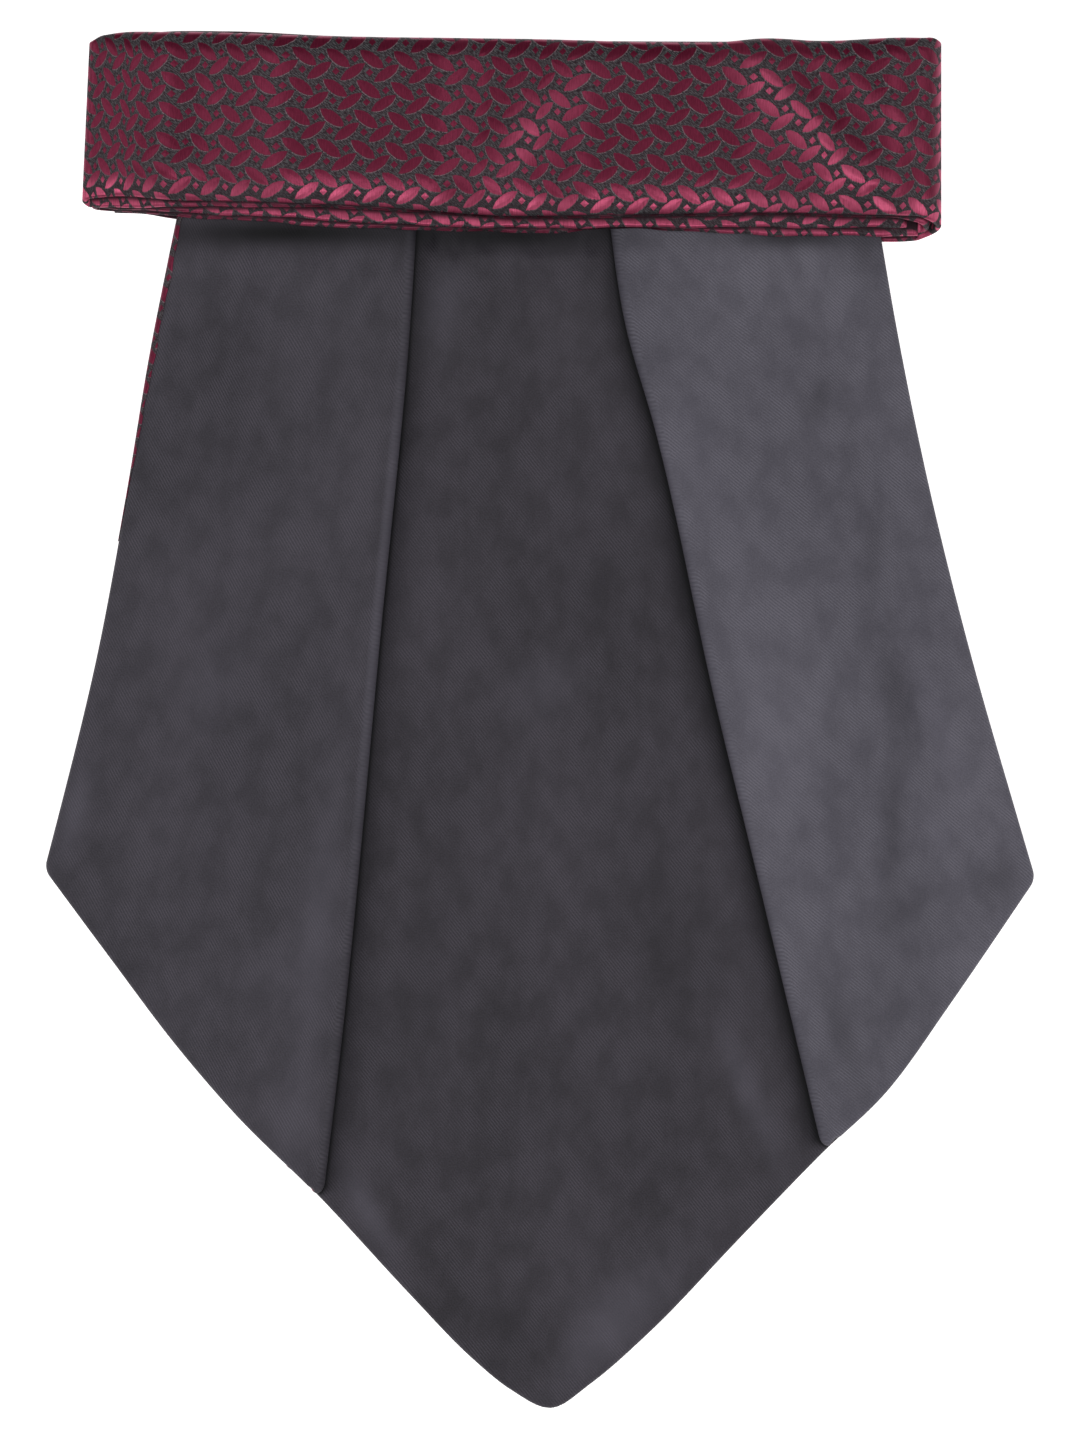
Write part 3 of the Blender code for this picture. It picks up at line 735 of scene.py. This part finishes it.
def stretch_height(x, level):
    """Height of the middle of a stretch's wall, level pitches above what the band lies on."""
    return band_bed(np.asarray(x, dtype=float)) + level * BAND_PITCH + WALL / 2.0


def leaned(x, y):
    """How far across a point of the packet is, when its left end leans to the right towards the top."""
    share_left = (BAND_RIGHT - x) / (BAND_RIGHT - BAND_LEFT)
    return x + BAND_LEAN * share_left * (y - LEAN_FOOT) / LEAN_HEIGHT


def flat_path(left, right, level):
    """A stretch of ribbon from left to right, level times the band's pitch above what it lies on."""
    def path(t):
        x = blend(left, right, t)
        return x, stretch_height(x, level)
    return path, np.linspace(0.0, 1.0, BAND_CELLS + 1)


def floor_path(left, right):
    """A straight stretch of ribbon on the floor."""
    def path(t):
        x = blend(left, right, t)
        return x, np.full_like(x, WALL / 2.0)
    return path, np.linspace(0.0, 1.0, BAND_CELLS // 2 + 1)


def turn_path(x, low, high, sign, downwards):
    """Half a circle between two heights of the ribbon, bulging to the left (-1) or the right (+1)."""
    radius = (high - low) / 2.0

    def path(t):
        angle = np.pi * (t if downwards else 1.0 - t)
        return x + sign * radius * np.sin(angle), (low + high) / 2.0 + radius * np.cos(angle)
    return path, np.linspace(0.0, 1.0, TURN_CELLS + 1)


def band_section():
    """A ribbon's cross-section: insets of the rounded rims, their share of the thickness, and the middle."""
    angle = np.linspace(0.0, np.pi / 2.0, 6)
    middle = 1.0 - crowded(BAND_CELLS_ACROSS, BAND_CROWDED, 1.0)[::-1]
    return RIM * (1.0 - np.cos(angle)), np.sin(angle), middle[1:-1]


def puffed(x, from_low, from_high, crown):
    """How far the band's upper side stands up: a slope that eases off from its lower edge, a quarter arc in
    from its upper edge, and none at the ends."""
    from_end = np.minimum(x - BAND_LEFT, BAND_RIGHT - x) / CROWN_FADE
    low = 1.0 - (1.0 - np.clip(from_low / LOW_ROLL, 0.0, 1.0)) ** LOW_ROLL_POWER
    high = np.sqrt(1.0 - (1.0 - np.clip(from_high / HIGH_ROLL, 0.0, 1.0)) ** 2)
    return crown * soft_step(from_end) * low * high


def ribbon(name, node, parts, low, high, crown, shift, wobble=0.0, creases=(), cover=None):
    """A stretch of the neckband: a flat tube on a path in X and Z, as wide as its lower and upper edges say.

    parts is a list of ((path, places along it), lower edge at its start, lower edge at its end), where None
    reads the lower edge from the table low. The long edges are half round, and crown puffs the upper side.
    cover is the lower edge of the stretch above: beside it this one gets painted shade, and further out a
    painted highlight.
    """
    xs, zs, lows = [], [], []
    for number, ((path, places), low_start, low_end) in enumerate(parts):
        t = places if number == 0 else places[1:]
        x, z = path(t)
        xs.append(x)
        zs.append(z)
        lows.append(through(low, x) if low_start is None else blend(low_start, low_end, t))
    x, z, lows = np.concatenate(xs), np.concatenate(zs), np.concatenate(lows)
    highs = through(high, x)
    wobble = wobble * soft_step(np.minimum(x - x.min(), x.max() - x) / WOBBLE_FADE)
    lows = lows + wobble * (np.sin(x / 2.9 + shift) + 0.6 * np.sin(x / 1.3 + 2.0 * shift))
    rim, share, middle = band_section()
    rows = [highs - inset for inset in rim]
    rows += [blend(highs - RIM, lows + RIM, place) for place in middle]
    rows += [lows + inset for inset in rim[::-1]]
    y = np.stack(rows)
    thick = np.concatenate([share, np.ones(len(middle)), share[::-1]])[:, None]
    spine = np.stack([leaned(x, y), y, np.broadcast_to(z, y.shape)], axis=-1)
    normal = unit(np.cross(np.gradient(spine, axis=0), np.gradient(spine, axis=1)))
    half = np.maximum(thick, 0.04) * WALL / 2.0 * np.ones_like(y)
    relief = puffed(x, y - lows, highs - y, crown) + thick * crease_height(creases, spine[..., 0], y)
    relief = relief * np.clip(normal[..., 2], 0.0, 1.0)
    squeezed = y + (1.0 - 2.0 * (y - lows) / (highs - lows)) * SILK
    within = np.stack([spine[..., 0], squeezed, spine[..., 2]], axis=-1)
    core = half * (1.0 - SILK / (WALL / 2.0))
    outer = np.concatenate([spine + (half + relief)[..., None] * normal,
                            (spine - half[..., None] * normal)[::-1]])
    inner = np.concatenate([within + (core + relief * 0.9)[..., None] * normal,
                            (within - core[..., None] * normal)[::-1]])
    along = lengths_along(spine, 1)
    along = along - along[:, np.argmin(np.abs(x))][:, None] + shift
    woven = along - SQUEEZE / 2.0 * np.maximum(SQUEEZED_FROM - along, 0.0) ** 2
    around = np.concatenate([y, 2.0 * lows - y[::-1], (2.0 * lows - highs)[None, :]])
    woven = np.concatenate([woven, woven[::-1], woven[:1]])
    made = tube(name, node, outer, inner, np.stack([woven, around], axis=-1))
    # Painted sheen, in patches and along the lower edge of the top stretch
    if creases:
        above, reach, painted_shine = LOW_PAINTED_SHINE
        painted_shine = painted_shine * (0.8 + 0.2 * np.sin(x / 3.1) * np.sin(x / 7.3))
        tone = painted_light_and_shade(BAND_PAINTED_SHINE, spine[..., 0], y) + painted_shine * np.exp(-((y - lows - above) / reach) ** 2)
        keep(made, "painted_shine", np.concatenate([tone, tone[::-1]]))
    # Painted shade beside the lower edge of the stretch above, and a painted highlight further out
    if cover:
        past = np.maximum(through(cover, x) - y, 0.0) / CREVICE_SHADE_REACH
        depth = np.exp(-np.concatenate([past, past[::-1]]) ** 2)
        keep(made, "crevice_painted_shade", depth * CREVICE_PAINTED_SHADE)
        keep(made, "painted_shine", (1.0 - depth) * EDGE_PAINTED_SHINE)
    return made


def make_band():
    """The neckband's five stretches, from the top one down, with the turns that join them."""
    fourth, third, second, top = range(4)
    floor_height = WALL / 2.0
    left_turn = BAND_LEFT + BAND_PITCH / 2.0 + WALL / 2.0
    inner_left_turn = left_turn + INNER_TURN_INSET
    big_turn = (stretch_height(BAND_RIGHT, top) - floor_height) / 2.0
    right_turn = BAND_RIGHT - big_turn - WALL / 2.0
    eye_end = right_turn + BAND_PITCH

    def height(x, level):
        return float(stretch_height(x, level))

    return [
        ribbon("band_top_cloth", "band_top", [
            (turn_path(left_turn, height(left_turn, second), height(left_turn, top), -1, False),
             through(SECOND_LOW, left_turn), through(TOP_LOW, left_turn)),
            (flat_path(left_turn, right_turn, top), None, None),
            (turn_path(right_turn, floor_height, height(right_turn, top), 1, True),
             through(TOP_LOW, right_turn), through(UNDER_LOW, right_turn)),
        ], TOP_LOW, TOP_HIGH, CROWN, 0.0, 0.0, BAND_CREASES),
        ribbon("band_second_cloth", "band_second", [
            (flat_path(left_turn + TOUCH, right_turn, second), None, None),
            (turn_path(right_turn, height(right_turn, fourth), height(right_turn, second), 1, True),
             through(SECOND_LOW, right_turn), through(FOURTH_LOW, eye_end)),
        ], SECOND_LOW, SECOND_HIGH, 0.0, 1.3, 0.08, cover=TOP_LOW),
        ribbon("band_third_cloth", "band_third", [
            (turn_path(inner_left_turn, height(inner_left_turn, fourth), height(inner_left_turn, third),
                       -1, False), through(FOURTH_LOW, inner_left_turn), through(THIRD_LOW, inner_left_turn)),
            (flat_path(inner_left_turn, THIRD_RIGHT, third), None, None),
        ], THIRD_LOW, INNER_HIGH, 0.0, 2.7, 0.10, cover=SECOND_LOW),
        ribbon("band_fourth_cloth", "band_fourth", [
            (flat_path(inner_left_turn + TOUCH, right_turn - TOUCH, fourth), None, None),
        ], FOURTH_LOW, INNER_HIGH, 0.0, 4.1, 0.10, cover=THIRD_LOW),
        ribbon("band_under_cloth", "band_under", [
            (floor_path(UNDER_LEFT, right_turn - TOUCH), None, None),
        ], UNDER_LOW, INNER_HIGH, 0.0, 5.9, 0.08, cover=FOURTH_LOW),
    ]


def make_core():
    """The hidden layers inside the packet: one cloth folded to and fro, so that its long sides show plies.

    Across it, plies run between the lower and the upper side, joined by half circles. Its height at each
    place along is the room between the band's under stretch and the stretches above it.
    """
    x = np.linspace(CORE_LEFT, CORE_RIGHT, 121)[None, :]
    bend = np.linspace(0.0, np.pi, 9)[:-1]
    sides, levels = [], []
    for ply in range(CORE_PLIES):
        way = 1.0 if ply % 2 == 0 else -1.0
        run = np.linspace(-1.0, 1.0, 9)[:-1]
        sides.append(way * run)
        levels.append(np.full(8, ply + 0.5))
        if ply < CORE_PLIES - 1:
            sides.append(way * (1.0 + 0.08 * np.sin(bend)))
            levels.append(ply + 1.0 - 0.5 * np.cos(bend))
    side = np.concatenate([*sides, [1.0 if CORE_PLIES % 2 else -1.0]])[:, None]
    level = np.concatenate([*levels, [CORE_PLIES - 0.5]])[:, None] / CORE_PLIES
    room = band_bed(x) - BAND_BED - SEAM_GAP
    y = (CORE_HIGH + CORE_LOW) / 2.0 + side * (CORE_HIGH - CORE_LOW) / 2.0 / 1.08 + 0.0 * x
    spine = np.stack([leaned(x, y), y, BAND_BED + SEAM_GAP / 2.0 + level * room], axis=-1)
    normal = unit(np.cross(np.gradient(spine, axis=0), np.gradient(spine, axis=1)))
    upper, lower = spine + normal * SILK / 2.0, spine - normal * SILK / 2.0
    places = np.stack(np.broadcast_arrays(x, lengths_along(spine, 0)), axis=-1)
    made = shell("core_layers", "band_core", upper, lower, places)
    return made


class Weave:
    """A material's node tree, built with plain calls: each call adds one node and gives its output."""

    def __init__(self, name):
        self.material = bpy.data.materials.new(name)
        self.material.use_nodes = True
        self.tree = self.material.node_tree
        self.shader = self.tree.nodes["Principled BSDF"]

    def join(self, value, socket):
        """Puts a number, a colour or another node's output on a socket."""
        if isinstance(value, bpy.types.NodeSocket):
            self.tree.links.new(value, socket)
        else:
            socket.default_value = value

    def set(self, name, value):
        """Puts a value or an output on one of the shader's own sockets."""
        self.join(value, self.shader.inputs[name])

    def math(self, operation, first, second=0.0, third=0.0):
        """One step of arithmetic."""
        node = self.tree.nodes.new("ShaderNodeMath")
        node.operation = operation
        for value, socket in zip((first, second, third), node.inputs):
            self.join(value, socket)
        return node.outputs[0]

    def add(self, first, second):
        return self.math("ADD", first, second)

    def less(self, first, second):
        return self.math("SUBTRACT", first, second)

    def times(self, first, second):
        return self.math("MULTIPLY", first, second)

    def most(self, values):
        """The largest of several numbers."""
        largest = values[0]
        for value in values[1:]:
            largest = self.math("MAXIMUM", largest, value)
        return largest

    def combined(self, first, first_share, second, second_share):
        """The sum of two numbers, each times its share."""
        return self.add(self.times(first, first_share), self.times(second, second_share))

    def cloth_places(self):
        """The piece's own UV map, in millimetres, as two numbers."""
        uv = self.tree.nodes.new("ShaderNodeUVMap")
        uv.uv_map = "UVMap"
        split = self.tree.nodes.new("ShaderNodeSeparateXYZ")
        self.join(uv.outputs[0], split.inputs[0])
        return [self.times(split.outputs[i], 1.0 / UV_PER_MM) for i in (0, 1)]

    def attribute(self, name):
        """A number that the mesh keeps at each of its points."""
        node = self.tree.nodes.new("ShaderNodeAttribute")
        node.attribute_name = name
        return node.outputs["Fac"]

    def noise(self, x, y, across, up, detail=2.0):
        """Soft noise from 0 to 1, with features of the given size in mm across and up."""
        place = self.tree.nodes.new("ShaderNodeCombineXYZ")
        self.join(self.times(x, 1.0 / across), place.inputs[0])
        self.join(self.times(y, 1.0 / up), place.inputs[1])
        node = self.tree.nodes.new("ShaderNodeTexNoise")
        self.join(place.outputs[0], node.inputs["Vector"])
        node.inputs["Scale"].default_value = 1.0
        node.inputs["Detail"].default_value = detail
        return node.outputs[0]

    def mix(self, share, first, second):
        """A colour between two colours."""
        node = self.tree.nodes.new("ShaderNodeMix")
        node.data_type = "RGBA"
        self.join(share, node.inputs[0])
        self.join(first, node.inputs[6])
        self.join(second, node.inputs[7])
        return node.outputs[2]

    def ramp(self, value, start, end, low=0.0, high=1.0):
        """low up to start, high from end on and straight between them."""
        node = self.tree.nodes.new("ShaderNodeMapRange")
        for number, put in enumerate((value, start, end, low, high)):
            self.join(put, node.inputs[number])
        return node.outputs[0]

    def relief(self, height, depth):
        """A bump from a height between 0 and 1, depth in mm."""
        node = self.tree.nodes.new("ShaderNodeBump")
        node.inputs["Distance"].default_value = depth * METRES
        self.join(height, node.inputs["Height"])
        self.set("Normal", node.outputs[0])

    def threads_across(self, strength):
        """Highlights drawn out across the threads, which run up the cloth."""
        node = self.tree.nodes.new("ShaderNodeTangent")
        node.direction_type = "UV_MAP"
        node.uv_map = "UVMap"
        self.set("Tangent", node.outputs[0])
        self.set("Anisotropic", strength)


def from_nearest(cloth, turns, centre):
    """How many turns away the nearest repeat of a centre is, from -0.5 to 0.5."""
    return cloth.less(cloth.math("FRACT", cloth.add(turns, 0.5 - centre)), 0.5)


def in_cell(cloth, across_turns, up_turns, centre):
    """A place seen from the nearest repeat of a motif's centre, in mm across and up."""
    p = from_nearest(cloth, across_turns, centre[0])
    q = from_nearest(cloth, up_turns, centre[1])
    return [cloth.combined(p, REPEAT_ACROSS[i], q, REPEAT_UP[i]) for i in (0, 1)]


def leaf(cloth, across, up, motif):
    """How far inside a leaf-shaped float a place is, above 0 inside, and how far off its midline.

    The leaf is where the share of half its width is under 1 less a power of the share of half its length.
    """
    lean = np.radians(motif["lean"])
    along = cloth.combined(across, np.cos(lean), up, np.sin(lean))
    off = cloth.combined(up, np.cos(lean), across, -np.sin(lean))
    reach = cloth.math("ABSOLUTE", cloth.times(along, 2.0 / motif["length"]))
    girth = cloth.math("ABSOLUTE", cloth.times(off, 2.0 / motif["width"]))
    return cloth.less(cloth.less(1.0, cloth.math("POWER", reach, LEAF_POWER)), girth), off


def jacquard():
    """Burgundy satin floats on a charcoal ground, charted as two leaf shapes and a diamond on a repeat."""
    cloth = Weave("jacquard")
    u, v = cloth.cloth_places()
    drift = cloth.noise(u, v, 22.0, 22.0, 1.0)
    u = cloth.add(u, cloth.times(cloth.less(drift, 0.5), 0.7))
    v = cloth.add(v, cloth.times(cloth.less(cloth.noise(v, u, 18.0, 18.0, 1.0), 0.5), 0.7))
    threads = cloth.noise(u, v, 0.17, 1.6, 1.0)
    from_x, from_y = cloth.less(u, REPEAT_AT[0]), cloth.less(v, REPEAT_AT[1])
    cell = REPEAT_ACROSS[0] * REPEAT_UP[1] - REPEAT_ACROSS[1] * REPEAT_UP[0]
    across_turns = cloth.combined(from_x, REPEAT_UP[1] / cell, from_y, -REPEAT_UP[0] / cell)
    up_turns = cloth.combined(from_x, -REPEAT_ACROSS[1] / cell, from_y, REPEAT_ACROSS[0] / cell)

    insides, outlines = [], []
    for motif in FLOATS:
        x, y = in_cell(cloth, across_turns, up_turns, motif["at"])
        inside, off = leaf(cloth, x, y, motif)
        inside = cloth.add(inside, cloth.times(cloth.less(threads, 0.5), 0.32))
        lower_side = cloth.ramp(off, 0.0, -0.25)
        line = cloth.less(1.0, cloth.times(cloth.math("ABSOLUTE", cloth.add(inside, 0.10)), 9.0))
        outlines.append(cloth.times(lower_side, line))
        x, y = in_cell(cloth, across_turns, up_turns, (motif["at"][0] + 0.5, motif["at"][1]))
        corner = cloth.add(cloth.math("ABSOLUTE", x), cloth.math("ABSOLUTE", y))
        insides += [inside, cloth.less(1.0, cloth.times(corner, 1.0 / DIAMOND_REACH))]
    inside = cloth.most(insides)
    shown = cloth.ramp(inside, -0.05, 0.05)
    outline = cloth.ramp(cloth.times(cloth.most(outlines), cloth.ramp(threads, 0.35, 0.6)), 0.05, 0.8)

    lean = np.radians(HAIR_LEAN)
    grain = cloth.noise(cloth.combined(u, np.cos(lean), v, np.sin(lean)),
                        cloth.combined(v, np.cos(lean), u, -np.sin(lean)), 0.6, 0.14, 2.0)
    ground = cloth.mix(cloth.ramp(grain, 0.42, 0.66), GROUND, FLECK)
    ground = cloth.mix(outline, ground, OUTLINE)
    # Painted sheen: where it is painted, the floats turn light pink and the ground darkens
    painted_shine = cloth.ramp(cloth.attribute("painted_shine"), 0.0, 1.0)
    ground = cloth.mix(cloth.times(painted_shine, 0.5), ground, GROUND)
    silk = cloth.mix(cloth.ramp(threads, 0.3, 0.75), BURGUNDY, BURGUNDY_LIGHT)
    silk = cloth.mix(cloth.times(painted_shine, cloth.ramp(threads, 0.2, 0.6, 0.5, 1.0)), silk, BURGUNDY_PAINTED_SHINE)
    own = cloth.mix(shown, ground, silk)
    # Painted shade between the plies, beside the edge of the stretch above
    cloth.set("Base Color", cloth.mix(cloth.attribute("crevice_painted_shade"), own, SHADED))
    cloth.set("Roughness", cloth.ramp(shown, 0.0, 1.0, 0.8, 0.38))
    cloth.set("Metallic", cloth.times(shown, 0.5))
    cloth.set("Specular Tint", SILK_GLOSS)
    dome = cloth.ramp(inside, 0.0, 0.9)
    dome.node.interpolation_type = "SMOOTHSTEP"
    raised = cloth.add(cloth.combined(dome, 0.5, threads, 0.4), cloth.times(grain, 0.1))
    cloth.relief(raised, 0.045)
    cloth.threads_across(0.7)
    return cloth.material


def twill():
    """Charcoal lining: fine diagonal ribs, a soft mottling, painted sheen that differs by panel, and painted
    light and shade.
    """
    cloth = Weave("twill")
    u, v = cloth.cloth_places()
    diagonal = cloth.combined(u, 1.0, v, 0.8)
    ribs = cloth.math("SINE", cloth.times(diagonal, 2.0 * np.pi / TWILL_PITCH))
    threads = cloth.noise(u, v, 0.25, 0.25)
    patches = cloth.noise(u, v, 4.0, 6.0, 2.0)
    folds = [cloth.attribute(name + "_fold") for name in SIDES]
    lips = [cloth.times(cloth.ramp(beside, -1.8, -0.9), cloth.ramp(beside, 0.0, -0.3)) for beside in folds]
    height = cloth.times(cloth.ramp(ribs, -1.0, 1.0), cloth.ramp(patches, 0.35, 0.62, 0.15, 1.0))
    height = cloth.times(height, cloth.ramp(cloth.most(lips), 0.0, 1.0, 1.0, 0.3))
    mottle = cloth.ramp(cloth.noise(u, v, 24.0, 42.0, 3.0), 0.3, 0.7)
    fine = cloth.combined(height, 0.62, cloth.ramp(threads, 0.3, 0.7), 0.38)
    tone = cloth.combined(fine, 0.75, mottle, 0.25)
    plain = cloth.mix(tone, LINING, LINING_LIGHT)
    # Painted sheen, by panel
    painted_sheen_colour = cloth.mix(tone, LINING_PAINTED_SHEEN, LINING_PAINTED_SHEEN_LIGHT)
    own = cloth.mix(cloth.attribute("panel_painted_sheen"), plain, painted_sheen_colour)
    # Painted shade, then painted light, from the patches
    own = cloth.mix(cloth.ramp(cloth.attribute("tone"), 0.0, -1.0), own, SHADED)
    own = cloth.mix(cloth.ramp(cloth.attribute("tone"), 0.0, 1.0), own, LIT)
    # Painted highlight on each fold's lip and painted shade at each fold's foot
    for beside, lip, lit, name in zip(folds, lips, LIP_PAINTED_SHINE, SIDES):
        lit = cloth.times(cloth.attribute(name + "_lip"), lit)
        own = cloth.mix(cloth.times(lip, lit), own, LIT)
        away = cloth.times(beside, beside)
        soft = cloth.math("EXPONENT", cloth.times(away, -0.5))
        crisp = cloth.math("EXPONENT", cloth.times(away, -3.0))
        shade = cloth.times(cloth.combined(soft, 0.42, crisp, 0.56), cloth.ramp(beside, -0.2, -0.05))
        own = cloth.mix(shade, own, SHADED)
    cloth.set("Base Color", own)
    cloth.set("Roughness", cloth.ramp(threads, 0.0, 1.0, 0.5, 0.75))
    cloth.set("Specular IOR Level", 0.15)
    cloth.relief(cloth.combined(height, 0.6, threads, 0.4), 0.05)
    return cloth.material


def make_stage():
    """A plain pale floor, soft lights round the cloth and an even pale surrounding."""
    mesh = bpy.data.meshes.new("floor")
    ends = (-FLOOR_REACH, FLOOR_REACH)
    mesh.from_pydata([(x, y, 0.0) for y in ends for x in ends], [], [(0, 1, 3, 2)])
    floor = bpy.data.objects.new("floor", mesh)
    floor.location.z = FLOOR_BELOW
    bpy.context.scene.collection.objects.link(floor)
    pale = bpy.data.materials.new("pale_floor")
    pale.use_nodes = True
    shader = pale.node_tree.nodes["Principled BSDF"]
    shader.inputs["Base Color"].default_value = (0.95, 0.95, 0.95, 1.0)
    shader.inputs["Roughness"].default_value = 0.9
    shader.inputs["Emission Color"].default_value = (1.0, 1.0, 1.0, 1.0)
    shader.inputs["Emission Strength"].default_value = FLOOR_GLOW
    mesh.materials.append(pale)

    world = bpy.data.worlds.new("studio")
    world.use_nodes = True
    background = world.node_tree.nodes["Background"]
    background.inputs["Color"].default_value = (1.0, 1.0, 1.0, 1.0)
    background.inputs["Strength"].default_value = SURROUND
    bpy.context.scene.world = world

    for name, place, size, energy in LIGHTS:
        light = bpy.data.lights.new(name, "AREA")
        light.size = size
        light.energy = energy
        lamp = bpy.data.objects.new(name, light)
        lamp.location = place
        lamp.rotation_euler = (-Vector(place)).to_track_quat("-Z", "Y").to_euler()
        bpy.context.scene.collection.objects.link(lamp)


def make_camera():
    """A camera straight above: its long side takes in the photograph's height at the cloth's level."""
    data = bpy.data.cameras.new("camera")
    data.lens = CAMERA_LENS
    data.sensor_width = CAMERA_SENSOR
    data.clip_end = 20.0
    camera = bpy.data.objects.new("camera", data)
    camera.location = (0.0, 0.0, PHOTO_HEIGHT * CAMERA_LENS / CAMERA_SENSOR)
    bpy.context.scene.collection.objects.link(camera)
    bpy.context.scene.camera = camera
    bpy.context.scene.view_settings.view_transform = "Standard"


def main():
    make_camera()
    make_stage()
    silk = jacquard()
    lining = make_lining()
    lining.data.materials.append(twill())
    face, roll = make_face(), make_face_roll()
    for piece in (face, roll, make_core(), *make_band()):
        piece.data.materials.append(silk)


main()
